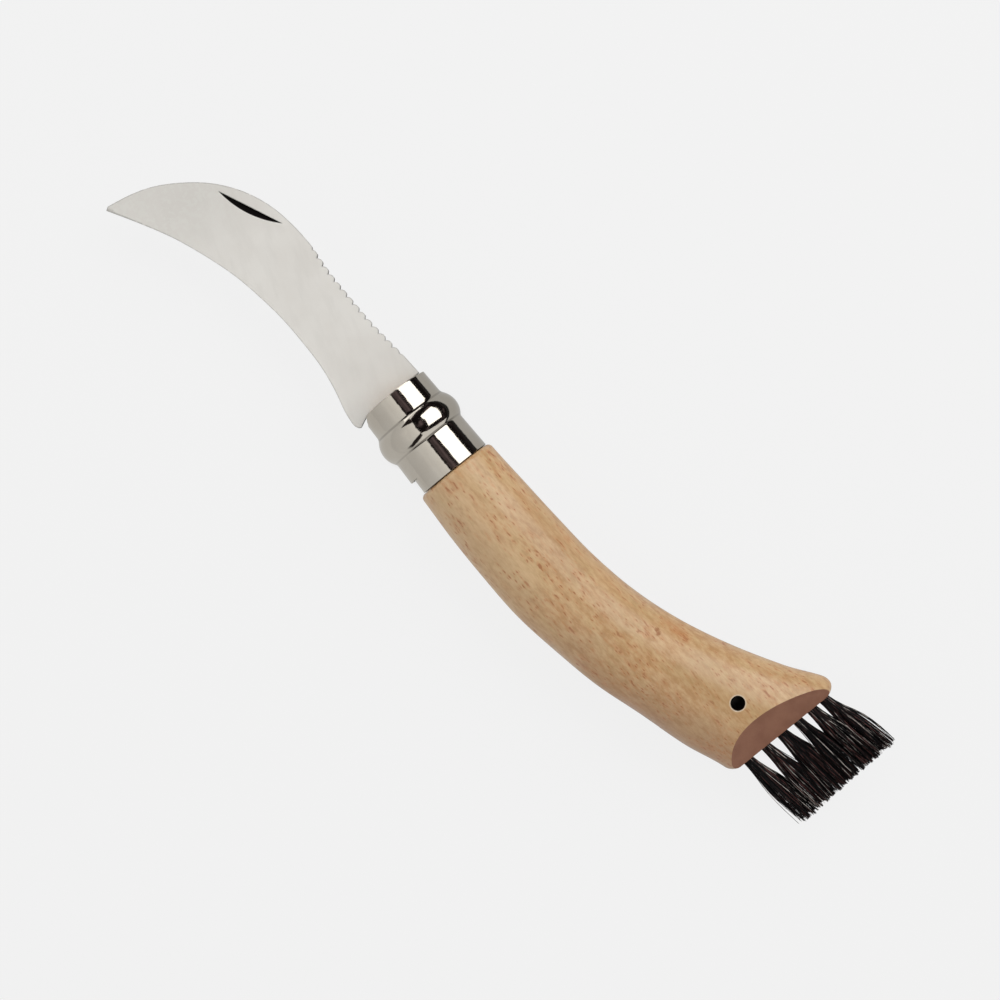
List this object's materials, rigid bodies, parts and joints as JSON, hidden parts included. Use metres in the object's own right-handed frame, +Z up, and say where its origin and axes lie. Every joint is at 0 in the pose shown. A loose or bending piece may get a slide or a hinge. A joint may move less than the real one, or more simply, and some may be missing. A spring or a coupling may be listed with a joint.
{
  "type": "folding mushroom knife",
  "caption": "Folding mushroom knife: curved blade on a pivot pin, turning steel lock ring, curved wooden handle with a brush in its end.",
  "frame": {"origin": "middle of the outer box, at its lowest point: the knife lies on its side on a surface", "axes": "+X from the brush to the blade's tip along the collar's axis, +Y from the spine to the cutting edge, +Z up across the blade"},
  "size_m": [0.2168, 0.0672, 0.0218],
  "materials": {
    "beech": "clear satin varnish on pale beech",
    "collar_steel": "polished stainless sheet",
    "blade_steel": "fine satin stainless",
    "bristle": "black and dark brown boar bristle",
    "anchor_wire": "drawn flat wire, galvanized"
  },
  "bodies": {
    "handle": {"handle_body": "beech", "fixed_ferrule": "collar_steel", "pivot_pin": "blade_steel", "brush_bristles": "bristle", "tuft_anchor_1": "anchor_wire", "tuft_anchor_2": "anchor_wire", "tuft_anchor_3": "anchor_wire", "tuft_anchor_4": "anchor_wire", "tuft_anchor_5": "anchor_wire", "tuft_anchor_6": "anchor_wire"},
    "ring": {"locking_ring": "collar_steel"},
    "blade": {"blade": "blade_steel"}
  },
  "joints": [
    {"name": "blade_fold", "type": "hinge", "parent": "handle", "child": "blade", "pos_m": [0.02127, 0.01032, 0.01091], "axis": [0, 0, 1], "range_deg": [0, 177]},
    {"name": "ring_turn", "type": "hinge", "parent": "handle", "child": "ring", "pos_m": [0.02127, 0.00812, 0.01091], "axis": [1, 0, 0], "range_deg": [0, 45]}
  ]
}
